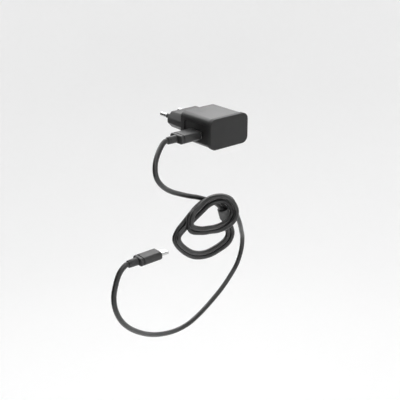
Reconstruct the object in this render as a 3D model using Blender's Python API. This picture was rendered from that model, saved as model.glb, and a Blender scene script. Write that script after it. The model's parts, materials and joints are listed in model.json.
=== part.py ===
"""USB wall charger with a two-pin plug and its USB cable.

Frame: metres, +Z up, +Y into the wall, +X to the right of someone facing the charger.
The origin is the middle of the plug face, where the two pins leave the neck.
"""

import math

import bmesh
import bpy
from mathutils import Vector

MM = 0.001
GAP = 0.3 * MM

# Housing
CAP_WIDTH = 40.3 * MM
CAP_HEIGHT = 25.7 * MM
CAP_LENGTH = 4.0 * MM
CAP_CORNER = 5.8 * MM
CAP_EDGE = 0.8 * MM
CAP_FACE = 2.0 * MM
BODY_INSET = 0.6 * MM
WALL = 2.0 * MM
BODY_EDGE = 0.7 * MM
LIP_LENGTH = 3.0 * MM
LIP_THICKNESS = 1.0 * MM
NECK_LENGTH = 20.0 * MM
CHARGER_LENGTH = 59.5 * MM

BODY_WIDTH = CAP_WIDTH - 2 * BODY_INSET
BODY_HEIGHT = CAP_HEIGHT - 2 * BODY_INSET
BODY_CORNER = CAP_CORNER - BODY_INSET
BODY_BACK = -NECK_LENGTH - GAP
BODY_FRONT = -CHARGER_LENGTH + CAP_LENGTH + GAP
SIDE = -BODY_WIDTH / 2

# Plug neck and pins, to the flat two-pin plug standard
NECK_WIDTH = 35.3 * MM
NECK_HEIGHT = 13.7 * MM
NECK_DRAFT = 0.5 * MM
NECK_WALL = 1.8 * MM
PIN_SPACING = 19.0 * MM
PIN_LENGTH = 19.0 * MM
PIN_RADIUS = 2.0 * MM
PIN_SHANK = 1.4 * MM
PIN_TAIL = 12.0 * MM
PIN_HOLE = PIN_RADIUS + GAP
SLEEVE_LENGTH = 10.0 * MM
SLEEVE_OUTER = PIN_RADIUS - 0.1 * MM
SLEEVE_INNER = PIN_SHANK + 0.15 * MM
SPRING_THICKNESS = 0.5 * MM
SPRING_WIDTH = 3.0 * MM
SPRING_FOOT = -7.0 * MM

# USB port in the left side, and the plug that sits in it
PORT_Y = -40.5 * MM
PORT_Z = -2.3 * MM
PANEL_WIDTH = 29.0 * MM
PANEL_HEIGHT = 15.4 * MM
PANEL_RISE = 1.4 * MM
PANEL_THICKNESS = 0.6 * MM
PANEL_POCKET = 1.3 * MM
PORT_WIDTH = 13.2 * MM
PORT_HEIGHT = 5.7 * MM
PORT_LENGTH = 14.0 * MM
SHEET = 0.3 * MM
PLUG_WIDTH = 12.0 * MM
PLUG_HEIGHT = 4.5 * MM
PLUG_REACH = 11.8 * MM
GRIP_LENGTH = 20.4 * MM
GRIP_WIDTH = 15.6 * MM
GRIP_HEIGHT = 7.2 * MM
GRIP_START = SIDE - 0.5 * MM
RELIEF_LENGTH = 8.0 * MM
RELIEF_RADIUS = 3.2 * MM
CONTACT_PITCH = 2.3 * MM

# Electronics inside the housing
BOARD_TOP = -7.3 * MM
BOARD_THICKNESS = 1.2 * MM
BOARD_SIZE = (31.0 * MM, 29.6 * MM)
BOARD_MIDDLE = -39.3 * MM
PART_FOOT = BOARD_TOP + GAP
SHEET_SIZE = (30.6 * MM, 26.0 * MM, 0.3 * MM)
SHEET_MIDDLE = (0.0, -38.2 * MM, -9.6 * MM)
CORE_MIDDLE = (8.0 * MM, -40.0 * MM)
CORE_HALF = 6.4 * MM
CORE_BACK = 3.0 * MM
CORE_DEPTH = 6.0 * MM
CAPACITOR_ROW = -28.9 * MM

# Cord
CORD_RADIUS = 2.1 * MM
COIL_RADIUS = 4.3 * MM
FAR_PLUG_START = (-110.7 * MM, -70.0 * MM, -79.2 * MM)
FAR_GRIP_WIDTH = 11.6 * MM
FAR_GRIP_HEIGHT = 6.6 * MM
FAR_SHELL = (8.25 * MM, 2.4 * MM, 6.65 * MM)
SAMPLE_STEP = 10.0 * MM

# The cord's route in millimetres: out of the plug, into the coil, out of it, and round to the far plug
LEAD_IN = [
    (-48.8, -40.5, -2.3), (-51.0, -40.5, -2.4), (-54.0, -41.2, -3.8), (-58.9, -43.6, -6.9), (-64.0, -47.0, -10.3),
    (-67.9, -50.0, -14.1), (-69.8, -52.0, -18.7), (-69.3, -52.3, -23.8), (-66.5, -51.4, -29.0),
    (-61.6, -49.8, -34.5), (-55.0, -47.4, -39.8), (-47.5, -45.0, -44.6), (-39.4, -42.5, -48.8),
    (-31.0, -40.0, -53.0),
]
COIL_ENTRY = [(-31.0, -40.0, -53.0), (-23.0, -38.3, -56.6), (-14.5, -36.8, -60.2), (-6.5, -37.0, -64.5)]
BIG_LOOP = [
    (-6.5, -38.0, -65.0), (1.0, -38.0, -67.0), (8.5, -38.0, -71.5), (13.0, -38.0, -77.5),
    (14.5, -38.0, -83.5), (16.5, -38.0, -90.0), (20.0, -38.0, -98.0), (21.0, -38.0, -105.0),
    (17.0, -38.0, -110.0), (9.0, -38.0, -113.0), (-2.0, -38.0, -115.0), (-14.0, -38.0, -114.0),
    (-25.0, -38.0, -108.5), (-34.5, -38.0, -100.0), (-39.5, -38.0, -91.5), (-37.5, -38.0, -85.5),
    (-31.5, -38.0, -79.5), (-26.0, -38.0, -75.0), (-20.5, -38.0, -70.0), (-14.0, -38.0, -66.5),
]
CROSSING = [(-39.0, -38.5, -92.0), (-37.0, -40.0, -86.5), (-31.0, -43.0, -79.0), (-26.0, -46.0, -72.0)]
SMALL_LOOP = [
    (-9.5, -48.0, -61.0), (1.5, -48.0, -62.0), (11.0, -48.0, -67.5), (16.5, -48.0, -76.5),
    (15.0, -48.0, -83.5), (7.5, -48.0, -87.5), (-2.5, -48.0, -88.0), (-12.0, -48.0, -86.0),
    (-22.0, -48.0, -83.0), (-29.5, -48.0, -77.0), (-29.0, -48.0, -71.0), (-24.5, -48.0, -67.5),
    (-17.5, -48.0, -63.5),
]
COIL_EXIT = [(11.0, -47.0, -67.5), (17.5, -45.0, -73.0), (22.8, -42.8, -80.5)]
TAIL = [
    (22.8, -42.8, -80.5), (27.8, -40.2, -88.6), (34.0, -36.6, -98.0), (42.0, -30.1, -109.0), (49.4, -23.8, -120.5),
    (50.8, -21.3, -134.0), (46.5, -20.5, -147.5), (36.5, -21.5, -157.8), (24.5, -22.8, -166.7),
    (10.0, -24.5, -174.5), (-6.0, -28.5, -178.8), (-22.0, -32.3, -181.2), (-38.0, -36.0, -180.0),
    (-55.0, -41.5, -174.4), (-73.0, -48.0, -165.5), (-91.0, -56.0, -153.0), (-107.0, -63.0, -139.0),
    (-118.0, -67.8, -125.5), (-124.2, -70.5, -112.0), (-125.2, -71.0, -101.0), (-122.4, -70.8, -90.5),
    (-118.4, -70.3, -83.4), (-113.4, -70.0, -79.6), (-110.8, -70.0, -79.2),
]
TIE_CENTRE = (15.1 * MM, -38.0 * MM, -85.6 * MM)
TIE_TILT = math.radians(17)
TIE_RADIUS = 4.85 * MM
TIE_THICKNESS = 0.7 * MM
TIE_WIDTH = 7.5 * MM


def clear_scene():
    for item in list(bpy.data.objects):
        bpy.data.objects.remove(item, do_unlink=True)


def make_material(name, colour, roughness, metallic=0.0):
    material = bpy.data.materials.new(name)
    material.use_nodes = True
    shader = material.node_tree.nodes["Principled BSDF"]
    shader.inputs["Base Color"].default_value = (*colour, 1.0)
    shader.inputs["Roughness"].default_value = roughness
    shader.inputs["Metallic"].default_value = metallic
    return material


def add_mesh(name, mesh, material, smooth=False):
    mesh.materials.append(material)
    for face in mesh.polygons:
        face.use_smooth = smooth
    item = bpy.data.objects.new(name, mesh)
    bpy.context.collection.objects.link(item)
    return item


def rounded_outline(corners, radius, steps=4):
    """Points round a convex outline, each corner turned into an arc."""
    points = []
    count = len(corners)
    for index, corner in enumerate(corners):
        here = Vector(corner)
        before = (Vector(corners[index - 1]) - here).normalized()
        after = (Vector(corners[(index + 1) % count]) - here).normalized()
        half_angle = before.angle(after) / 2
        centre = here + (before + after).normalized() * radius / math.sin(half_angle)
        start = here + before * radius / math.tan(half_angle) - centre
        sweep = math.pi - 2 * half_angle
        turn = 1 if before.x * after.y - before.y * after.x < 0 else -1
        for step in range(steps + 1):
            angle = turn * sweep * step / steps
            turned = Vector((
                start.x * math.cos(angle) - start.y * math.sin(angle),
                start.x * math.sin(angle) + start.y * math.cos(angle),
            ))
            points.append(centre + turned)
    return points


def rectangle(width, height, radius, steps=4):
    corners = [
        (-width / 2, -height / 2), (width / 2, -height / 2),
        (width / 2, height / 2), (-width / 2, height / 2),
    ]
    return rounded_outline(corners, radius, steps)


def plug_outline(grow):
    """The flattened hexagon of a flat two-pin plug, with short upright ends."""
    half_width = NECK_WIDTH / 2 + grow
    half_height = NECK_HEIGHT / 2 + grow
    shoulder = half_width - 0.66 * half_height
    end = 0.32 * half_height
    corners = [
        (-shoulder, -half_height), (shoulder, -half_height), (half_width, -end), (half_width, end),
        (shoulder, half_height), (-shoulder, half_height), (-half_width, end), (-half_width, -end),
    ]
    return rounded_outline(corners, 1.6 * MM, 2)


def circle(radius, sides=24):
    angles = [2 * math.pi * index / sides for index in range(sides)]
    return [Vector((radius * math.cos(a), radius * math.sin(a))) for a in angles]


def place(outline, axis, distance, centre=(0.0, 0.0)):
    """An outline as a section across X, Y or Z at that distance; centre is in the section's own plane."""
    points = []
    for point in outline:
        u = point[0] + centre[0]
        v = point[1] + centre[1]
        if axis == "X":
            points.append(Vector((distance, u, v)))
        elif axis == "Y":
            points.append(Vector((u, distance, v)))
        else:
            points.append(Vector((u, v, distance)))
    return points


def skin(name, sections, material, cyclic=False, smooth=False):
    """A closed solid through sections that have the same number of points."""
    shape = bmesh.new()
    rings = [[shape.verts.new(point) for point in section] for section in sections]
    pairs = list(zip(rings, rings[1:]))
    if cyclic:
        pairs.append((rings[-1], rings[0]))
    else:
        shape.faces.new(rings[0])
        shape.faces.new(rings[-1])
    for ring, following in pairs:
        for index in range(len(ring)):
            after = (index + 1) % len(ring)
            shape.faces.new((ring[index], ring[after], following[after], following[index]))
    bmesh.ops.recalc_face_normals(shape, faces=shape.faces)
    mesh = bpy.data.meshes.new(name)
    shape.to_mesh(mesh)
    shape.free()
    return add_mesh(name, mesh, material, smooth)


def block(name, size, centre, material, radius=0.3 * MM, axis="Z"):
    """A plain component body with its corners rounded round one axis."""
    order = {"X": (1, 2, 0), "Y": (0, 2, 1), "Z": (0, 1, 2)}[axis]
    outline = rectangle(size[order[0]], size[order[1]], radius, 2)
    middle = (centre[order[0]], centre[order[1]])
    half = size[order[2]] / 2
    ends = (centre[order[2]] - half, centre[order[2]] + half)
    return skin(name, [place(outline, axis, end, middle) for end in ends], material)


def turned(name, axis, centre, profile, material, sides=24):
    """A solid turned round an axis through centre; profile holds (distance, radius) pairs."""
    sections = [place(circle(radius, sides), axis, distance, centre) for distance, radius in profile]
    return skin(name, sections, material, smooth=True)


def pipe(name, axis, centre, start, end, outer, inner, material, sides=24):
    corners = [(start, outer), (end, outer), (end, inner), (start, inner)]
    sections = [place(circle(radius, sides), axis, distance, centre) for distance, radius in corners]
    return skin(name, sections, material, cyclic=True, smooth=True)


def frame_between(name, axis, start, end, outer, inner, material, centre=(0.0, 0.0)):
    """A hollow prism between an outer and an inner outline."""
    sections = [
        place(outer, axis, start, centre), place(outer, axis, end, centre),
        place(inner, axis, end, centre), place(inner, axis, start, centre),
    ]
    return skin(name, sections, material, cyclic=True)


def hide_cutter(cutter):
    cutter.hide_render = True
    cutter.display_type = "WIRE"


def combine(item, others, operation):
    for other in others:
        modifier = item.modifiers.new(other.name, "BOOLEAN")
        modifier.operation = operation
        modifier.solver = "EXACT"
        modifier.object = other
        hide_cutter(other)


def extruded(name, outline, axis, start, end, material):
    return skin(name, [place(outline, axis, distance) for distance in (start, end)], material)


# Housing


def make_main_housing(material):
    inside = rectangle(BODY_WIDTH - 2 * WALL, BODY_HEIGHT - 2 * WALL, BODY_CORNER - WALL)
    outside = rectangle(BODY_WIDTH, BODY_HEIGHT, BODY_CORNER)
    slight = 0.3 * BODY_EDGE
    eased = rectangle(BODY_WIDTH - 2 * slight, BODY_HEIGHT - 2 * slight, BODY_CORNER - slight)
    back = rectangle(BODY_WIDTH - 2 * BODY_EDGE, BODY_HEIGHT - 2 * BODY_EDGE, BODY_CORNER - BODY_EDGE)
    sections = [
        place(inside, "Y", BODY_BACK - WALL),
        place(inside, "Y", BODY_FRONT),
        place(outside, "Y", BODY_FRONT),
        place(outside, "Y", BODY_BACK - BODY_EDGE),
        place(eased, "Y", BODY_BACK - slight),
        place(back, "Y", BODY_BACK),
    ]
    housing = skin("main_housing", sections, material)
    combine(housing, make_housing_cutters(material), "DIFFERENCE")


def make_housing_cutters(material):
    panel_middle = (PORT_Y, PORT_Z + PANEL_RISE)
    pocket = rectangle(PANEL_WIDTH + 2 * GAP, PANEL_HEIGHT + 2 * GAP, 2.3 * MM)
    window = rectangle(PORT_WIDTH + 2 * GAP, PORT_HEIGHT + 2 * GAP, 0.8 * MM)
    outer_ends = (SIDE - 1 * MM, SIDE + PANEL_POCKET)
    inner_ends = (SIDE - 1 * MM, SIDE + WALL + 1 * MM)
    cutters = [
        skin("cut_panel_pocket", [place(pocket, "X", x, panel_middle) for x in outer_ends], material),
        skin("cut_port_window", [place(window, "X", x, (PORT_Y, PORT_Z)) for x in inner_ends], material),
    ]
    slot = rectangle(4.0 * MM, 2.0 * MM, 0.4 * MM, 2)
    slot_ends = (BODY_BACK + 1 * MM, BODY_BACK - WALL - 1 * MM)
    for side in (-1, 1):
        middle = (side * PIN_SPACING / 2, 0.0)
        name = f"cut_contact_slot_{'left' if side < 0 else 'right'}"
        cutters.append(skin(name, [place(slot, "Y", y, middle) for y in slot_ends], material))
    return cutters


def make_front_cover(material):
    front = -CHARGER_LENGTH
    rear = front + CAP_LENGTH
    sections = []
    for step in range(4):
        angle = math.radians(30 * step)
        inset = CAP_EDGE * (1 - math.sin(angle))
        outline = rectangle(CAP_WIDTH - 2 * inset, CAP_HEIGHT - 2 * inset, CAP_CORNER - inset, 6)
        sections.append(place(outline, "Y", front + CAP_EDGE * (1 - math.cos(angle))))
    outside = rectangle(CAP_WIDTH, CAP_HEIGHT, CAP_CORNER, 6)
    lip_inset = BODY_INSET + WALL + GAP
    lip = rectangle(CAP_WIDTH - 2 * lip_inset, CAP_HEIGHT - 2 * lip_inset, CAP_CORNER - lip_inset, 6)
    inner_inset = lip_inset + LIP_THICKNESS
    inner = rectangle(CAP_WIDTH - 2 * inner_inset, CAP_HEIGHT - 2 * inner_inset, CAP_CORNER - inner_inset, 6)
    sections.append(place(outside, "Y", rear))
    sections.append(place(lip, "Y", rear))
    sections.append(place(lip, "Y", rear + LIP_LENGTH))
    sections.append(place(inner, "Y", rear + LIP_LENGTH))
    sections.append(place(inner, "Y", front + CAP_FACE))
    skin("front_cover", sections, material)


def make_port_panel(material):
    outer = rectangle(PANEL_WIDTH, PANEL_HEIGHT, 2.0 * MM)
    inner = rectangle(PORT_WIDTH + 2 * GAP, PORT_HEIGHT + 2 * GAP, 0.8 * MM)
    outer = [point + Vector((0.0, PANEL_RISE)) for point in outer]
    start = SIDE + PANEL_POCKET - GAP
    frame_between("port_panel", "X", start, start - PANEL_THICKNESS, outer, inner, material, (PORT_Y, PORT_Z))


def make_plug_neck(material):
    sections = [
        place(plug_outline(-NECK_WALL), "Y", -NECK_WALL),
        place(plug_outline(NECK_DRAFT - NECK_WALL), "Y", -NECK_LENGTH),
        place(plug_outline(NECK_DRAFT), "Y", -NECK_LENGTH),
        place(plug_outline(0.0), "Y", -0.9 * MM),
        place(plug_outline(-0.25 * MM), "Y", -0.25 * MM),
        place(plug_outline(-0.9 * MM), "Y", 0.0),
    ]
    neck = skin("plug_neck", sections, material)
    hole = circle(PIN_HOLE, 24)
    cutters = []
    for side in (-1, 1):
        middle = (side * PIN_SPACING / 2, 0.0)
        name = f"cut_pin_hole_{'left' if side < 0 else 'right'}"
        ends = (1 * MM, -NECK_WALL - 1 * MM)
        cutters.append(skin(name, [place(hole, "Y", y, middle) for y in ends], material))
    combine(neck, cutters, "DIFFERENCE")


def make_pins(metal, sleeve_material, spring_material):
    for side in (-1, 1):
        label = "left" if side < 0 else "right"
        centre = (side * PIN_SPACING / 2, 0.0)
        tip = PIN_LENGTH
        profile = [
            (-PIN_TAIL, PIN_SHANK), (SLEEVE_LENGTH, PIN_SHANK), (SLEEVE_LENGTH, PIN_RADIUS),
            (tip - 1.6 * MM, PIN_RADIUS), (tip - 0.6 * MM, 0.84 * PIN_RADIUS), (tip, 0.4 * PIN_RADIUS),
        ]
        turned(f"pin_{label}", "Y", centre, profile, metal, 20)
        sleeve_end = SLEEVE_LENGTH - 0.2 * MM
        pipe(
            f"pin_sleeve_{label}", "Y", centre, -NECK_WALL, sleeve_end,
            SLEEVE_OUTER, SLEEVE_INNER, sleeve_material, 20,
        )
        make_contact_spring(f"contact_spring_{label}", centre[0], spring_material)


def make_contact_spring(name, x, material):
    """A bent strip from the back of a pin down to the board."""
    start = -PIN_TAIL - GAP
    bend = BODY_BACK - WALL - 1.6 * MM
    inner = bend + SPRING_THICKNESS
    half = SPRING_THICKNESS / 2
    outline = [
        (start, -half), (inner, -half), (inner, SPRING_FOOT),
        (bend, SPRING_FOOT), (bend, half), (start, half),
    ]
    ends = (x - SPRING_WIDTH / 2, x + SPRING_WIDTH / 2)
    skin(name, [place(outline, "X", end) for end in ends], material)


# Electronics inside the housing


def standing(name, x, y, height, radius, material, sides=20):
    """An electrolytic capacitor that stands on the board, with a crimp near its foot."""
    foot = PART_FOOT
    profile = [
        (foot, 0.94 * radius), (foot + 0.3 * MM, radius), (foot + 1.4 * MM, radius),
        (foot + 1.8 * MM, 0.92 * radius), (foot + 2.2 * MM, radius),
        (foot + height - 0.4 * MM, radius), (foot + height, 0.92 * radius),
    ]
    turned(name, "Z", (x, y), profile, material, sides)


def lying(name, axis, centre, start, length, radius, material):
    profile = [
        (start, 0.8 * radius), (start + 0.12 * length, radius), (start + 0.3 * length, 0.9 * radius),
        (start + 0.7 * length, 0.9 * radius), (start + 0.88 * length, radius), (start + length, 0.8 * radius),
    ]
    turned(name, axis, centre, profile, material, 16)


def make_boards(green):
    board = (*BOARD_SIZE, BOARD_THICKNESS)
    block("main_board", board, (0.0, BOARD_MIDDLE, BOARD_TOP - BOARD_THICKNESS / 2), green, 1.0 * MM)
    port_end = SIDE + PANEL_POCKET + PORT_LENGTH
    upright = (1.0 * MM, 15.0 * MM, 11.0 * MM)
    centre = (port_end + 1.2 * MM, PORT_Y, PART_FOOT + 5.5 * MM)
    block("port_board", upright, centre, green, 0.5 * MM, "X")


def make_insulation(material):
    block("insulation_sheet", SHEET_SIZE, SHEET_MIDDLE, material, 1.0 * MM)


def make_transformer(ferrite, plastic, copper):
    middle = CORE_MIDDLE
    foot = PART_FOOT + 1.0 * MM
    for label, base, up in (("lower", foot, 1), ("upper", foot + 2 * CORE_HALF + GAP, -1)):
        make_core_half(f"transformer_core_{label}", base, up, ferrite)
    low = foot + CORE_BACK + GAP
    high = foot + 2 * CORE_HALF - CORE_BACK
    hole = rectangle(4.6 * MM, 6.6 * MM, 0.2 * MM, 2)
    tube = rectangle(5.6 * MM, 7.6 * MM, 0.4 * MM, 2)
    flange = rectangle(9.2 * MM, 11.4 * MM, 0.6 * MM, 2)
    lip = 0.6 * MM
    steps = [
        (hole, low), (flange, low), (flange, low + lip), (tube, low + lip),
        (tube, high - lip), (flange, high - lip), (flange, high), (hole, high),
    ]
    sections = [place(outline, "Z", z, middle) for outline, z in steps]
    skin("transformer_bobbin", sections, plastic, cyclic=True)
    inner = rectangle(6.0 * MM, 8.0 * MM, 0.5 * MM, 3)
    outer = rectangle(8.8 * MM, 11.0 * MM, 1.6 * MM, 3)
    start = low + lip + 0.2 * MM
    end = high - lip - 0.2 * MM
    frame_between("transformer_winding", "Z", start, end, outer, inner, copper, middle)


def make_core_half(name, base, up, material):
    """One E of the ferrite core, extruded along Y; up is +1 for the lower half and -1 for the upper."""
    side = 8.0 * MM
    window = 5.0 * MM
    centre_leg = 2.0 * MM
    outline = [
        (-side, 0.0), (side, 0.0), (side, CORE_HALF), (window, CORE_HALF), (window, CORE_BACK),
        (centre_leg, CORE_BACK), (centre_leg, CORE_HALF), (-centre_leg, CORE_HALF), (-centre_leg, CORE_BACK),
        (-window, CORE_BACK), (-window, CORE_HALF), (-side, CORE_HALF),
    ]
    points = [(CORE_MIDDLE[0] + x, base + up * z) for x, z in outline]
    if up < 0:
        points.reverse()
    ends = [CORE_MIDDLE[1] + sign * CORE_DEPTH / 2 for sign in (-1, 1)]
    extruded(name, points, "Y", ends[0], ends[1], material)


def make_components(palette):
    standing("bulk_capacitor_left", 3.4 * MM, CAPACITOR_ROW, 14.5 * MM, 3.8 * MM, palette["capacitor"])
    standing("bulk_capacitor_right", 11.8 * MM, CAPACITOR_ROW, 14.5 * MM, 3.8 * MM, palette["capacitor"])
    standing("output_capacitor", -12.2 * MM, CAPACITOR_ROW, 11.0 * MM, 3.1 * MM, palette["output"])
    resistor_z = PART_FOOT + 1.8 * MM
    lying("fusible_resistor", "X", (-52.6 * MM, resistor_z), -6.0 * MM, 10.0 * MM, 1.5 * MM, palette["resistor"])
    lying("rectifier_diode", "Y", (-7.0 * MM, resistor_z), -32.0 * MM, 6.0 * MM, 1.3 * MM, palette["chip"])
    choke = [
        (PART_FOOT, 3.2 * MM), (PART_FOOT + 1.0 * MM, 3.2 * MM), (PART_FOOT + 1.0 * MM, 2.5 * MM),
        (PART_FOOT + 6.0 * MM, 2.5 * MM), (PART_FOOT + 6.0 * MM, 3.2 * MM), (PART_FOOT + 7.0 * MM, 3.2 * MM),
    ]
    turned("input_choke", "Z", (11.8 * MM, -50.6 * MM), choke, palette["ferrite"], 20)
    disc = [(-4.5 * MM, 2.6 * MM), (-4.0 * MM, 3.4 * MM), (-2.4 * MM, 3.4 * MM), (-1.9 * MM, 2.6 * MM)]
    turned("safety_capacitor", "X", (-29.3 * MM, PART_FOOT + 3.5 * MM), disc, palette["safety"], 20)
    chips = [
        ("bridge_rectifier", (6.0, 4.6, 2.2), (-12.4, -51.2)),
        ("controller_chip", (5.0, 4.0, 1.4), (-12.4, -40.5)),
        ("optocoupler", (6.4, 3.8, 3.3), (1.8, -48.6)),
    ]
    for name, size, spot in chips:
        dimensions = tuple(value * MM for value in size)
        centre = (spot[0] * MM, spot[1] * MM, PART_FOOT + dimensions[2] / 2)
        block(name, dimensions, centre, palette["chip"], 0.4 * MM)


# USB port and the plug in it


def contact_places():
    return [(index - 1.5) * CONTACT_PITCH for index in range(4)]


def make_usb_port(steel, plastic, gold):
    start = SIDE + PANEL_POCKET - GAP - PANEL_THICKNESS + 0.1 * MM
    end = start + PORT_LENGTH
    middle = (PORT_Y, PORT_Z)
    outer = rectangle(PORT_WIDTH, PORT_HEIGHT, 0.6 * MM, 3)
    inner = rectangle(PORT_WIDTH - 2 * SHEET, PORT_HEIGHT - 2 * SHEET, 0.3 * MM, 3)
    frame_between("usb_port_shell", "X", start, end, outer, inner, steel, middle)
    tongue_start = start + 1.6 * MM
    tongue = (end - tongue_start, 10.4 * MM, 1.2 * MM)
    centre = ((tongue_start + end) / 2, PORT_Y, PORT_Z + 0.95 * MM)
    block("usb_port_tongue", tongue, centre, plastic, 0.25 * MM, "X")
    for index, across in enumerate(contact_places(), 1):
        size = (end - tongue_start - 1.5 * MM, 1.0 * MM, 0.2 * MM)
        spot = (centre[0] + 0.25 * MM, PORT_Y + across, PORT_Z + 0.1 * MM)
        block(f"usb_port_contact_{index}", size, spot, gold, 0.05 * MM, "X")


def make_usb_plug(steel, plastic, gold, rubber):
    middle = (PORT_Y, PORT_Z)
    shell_start = GRIP_START + GAP
    shell_end = shell_start + PLUG_REACH
    outer = rectangle(PLUG_WIDTH, PLUG_HEIGHT, 0.5 * MM, 3)
    inner = rectangle(PLUG_WIDTH - 2 * SHEET, PLUG_HEIGHT - 2 * SHEET, 0.25 * MM, 3)
    frame_between("usb_plug_shell", "X", shell_start, shell_end, outer, inner, steel, middle)
    tongue_end = shell_end - 0.4 * MM
    tongue = (tongue_end - shell_start, 11.0 * MM, 1.1 * MM)
    centre = ((shell_start + tongue_end) / 2, PORT_Y, PORT_Z - 1.2 * MM)
    block("usb_plug_tongue", tongue, centre, plastic, 0.25 * MM, "X")
    for index, across in enumerate(contact_places(), 1):
        size = (tongue_end - shell_start - 2.4 * MM, 1.2 * MM, 0.2 * MM)
        spot = (centre[0] + 0.2 * MM, PORT_Y + across, PORT_Z - 0.4 * MM)
        block(f"usb_plug_contact_{index}", size, spot, gold, 0.05 * MM, "X")
    make_grip("usb_plug_grip", GRIP_START, -1, GRIP_WIDTH, GRIP_HEIGHT, GRIP_LENGTH, middle, rubber)
    relief_start = GRIP_START - GRIP_LENGTH - GAP
    make_relief("usb_plug_strain_relief", relief_start, -1, middle, rubber)


def make_grip(name, start, way, width, height, length, middle, material):
    """A moulded grip that runs from the metal shell at start, with a groove near its cord end."""
    edge = 1.3 * MM
    groove = length - 3.6 * MM
    stations = [
        (0.0, edge), (0.4 * edge, 0.3 * edge), (edge, 0.0), (groove, 0.0),
        (groove + 0.1 * MM, 0.6 * MM), (groove + 0.9 * MM, 0.6 * MM), (groove + 1.0 * MM, 0.0),
        (length - edge, 0.0), (length - 0.4 * edge, 0.3 * edge), (length, edge),
    ]
    corner = 2.6 * MM
    sections = []
    for distance, inset in stations:
        outline = rectangle(width - 2 * inset, height - 2 * inset, corner - inset)
        sections.append(place(outline, "X", start + way * distance, middle))
    skin(name, sections, material)


def make_relief(name, start, way, middle, material):
    """A short tapered boot with a rim where the cord leaves it."""
    bore = CORD_RADIUS * 0.9
    profile = [
        (0.0, RELIEF_RADIUS), (RELIEF_LENGTH - 1.4 * MM, 0.94 * RELIEF_RADIUS),
        (RELIEF_LENGTH - 0.4 * MM, 0.9 * RELIEF_RADIUS), (RELIEF_LENGTH, bore),
    ]
    steps = [(start + way * distance, radius) for distance, radius in profile]
    turned(name, "X", middle, steps, material, 20)


def make_far_plug(steel, plastic, rubber):
    x, y, z = FAR_PLUG_START
    middle = (y, z)
    relief_end = x + RELIEF_LENGTH
    make_relief("far_plug_strain_relief", relief_end, -1, middle, rubber)
    grip_end = relief_end + GAP + GRIP_LENGTH
    make_grip("far_plug_grip", grip_end, -1, FAR_GRIP_WIDTH, FAR_GRIP_HEIGHT, GRIP_LENGTH, middle, rubber)
    width, height, length = FAR_SHELL
    start = grip_end + GAP
    outer = rectangle(width, height, 1.15 * MM)
    inner = rectangle(width - 2 * SHEET, height - 2 * SHEET, 0.85 * MM)
    frame_between("far_plug_shell", "X", start, start + length, outer, inner, steel, middle)
    tongue = (length - 2.0 * MM, 6.4 * MM, 0.7 * MM)
    block("far_plug_tongue", tongue, (start + tongue[0] / 2, y, z), plastic, 0.2 * MM, "X")


# Cord


def smooth_route(points, closed=False, step=SAMPLE_STEP):
    """Points about a step apart on a Catmull-Rom curve through the route's own points."""
    route = [Vector(point) * MM for point in points]
    count = len(route)
    samples = []
    for index in range(count if closed else count - 1):
        if closed:
            before, here, there, after = (route[(index + offset) % count] for offset in (-1, 0, 1, 2))
        else:
            here, there = route[index], route[index + 1]
            before = route[index - 1] if index > 0 else 2 * here - there
            after = route[index + 2] if index + 2 < count else 2 * there - here
        parts = max(1, round((there - here).length / step))
        for part in range(parts):
            t = part / parts
            samples.append(0.5 * (
                2 * here + (there - before) * t
                + (2 * before - 5 * here + 4 * there - after) * t * t
                + (3 * here - before - 3 * there + after) * t * t * t
            ))
    if not closed:
        samples.append(route[-1])
    return samples


def make_tube(name, points, material):
    curve = bpy.data.curves.new(name, "CURVE")
    curve.dimensions = "3D"
    curve.bevel_depth = CORD_RADIUS
    curve.bevel_resolution = 2
    curve.use_fill_caps = True
    spline = curve.splines.new("POLY")
    spline.points.add(len(points) - 1)
    for target, point in zip(spline.points, points):
        target.co = (*point, 1.0)
    curve.materials.append(material)
    item = bpy.data.objects.new(name, curve)
    bpy.context.collection.objects.link(item)
    return item


def shorten(points, start, end):
    """The same route with a little cut off its two ends."""
    first = points[0] + (points[1] - points[0]).normalized() * start
    last = points[-1] + (points[-2] - points[-1]).normalized() * end
    return [first, *points[1:-1], last]


def swept(name, path, radius, material, closed, sides=12):
    """A round bar along a path that lies nearly across Y."""
    sections = []
    count = len(path)
    depth = Vector((0.0, 1.0, 0.0))
    for index, point in enumerate(path):
        before = path[index - 1] if closed or index > 0 else point
        after = path[(index + 1) % count] if closed or index + 1 < count else point
        along = (after - before).normalized()
        outward = along.cross(depth).normalized()
        up = outward.cross(along).normalized()
        ring = [point + outward * spot.x + up * spot.y for spot in circle(radius, sides)]
        sections.append(ring)
    return skin(name, sections, material, cyclic=closed)


def make_coil(material):
    """The outer shape of the two loops, with the strand that crosses between them and a stub at each end."""
    coil = swept("cord_coil", smooth_route(BIG_LOOP, True), COIL_RADIUS, material, True)
    parts = [
        swept("join_small_loop", smooth_route(SMALL_LOOP, True), COIL_RADIUS, material, True),
        swept("join_entry", smooth_route(COIL_ENTRY), CORD_RADIUS, material, False),
        swept("join_crossing", smooth_route(CROSSING), CORD_RADIUS, material, False),
        swept("join_exit", smooth_route(COIL_EXIT), CORD_RADIUS, material, False),
    ]
    combine(coil, parts, "UNION")


def make_tie(material):
    half = TIE_WIDTH / 2
    tie = pipe("cable_tie", "Z", (0.0, 0.0), -half, half, TIE_RADIUS + TIE_THICKNESS, TIE_RADIUS, material, 20)
    tie.location = TIE_CENTRE
    tie.rotation_euler = (0.0, -TIE_TILT, 0.0)


def make_cord(material, tie_material):
    lead_in = smooth_route(LEAD_IN)
    make_tube("cord_lead_in", shorten(lead_in, GAP, GAP), material)
    make_coil(material)
    make_tie(tie_material)
    tail = smooth_route(TAIL)
    make_tube("cord_tail", shorten(tail, GAP, GAP), material)


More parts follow.
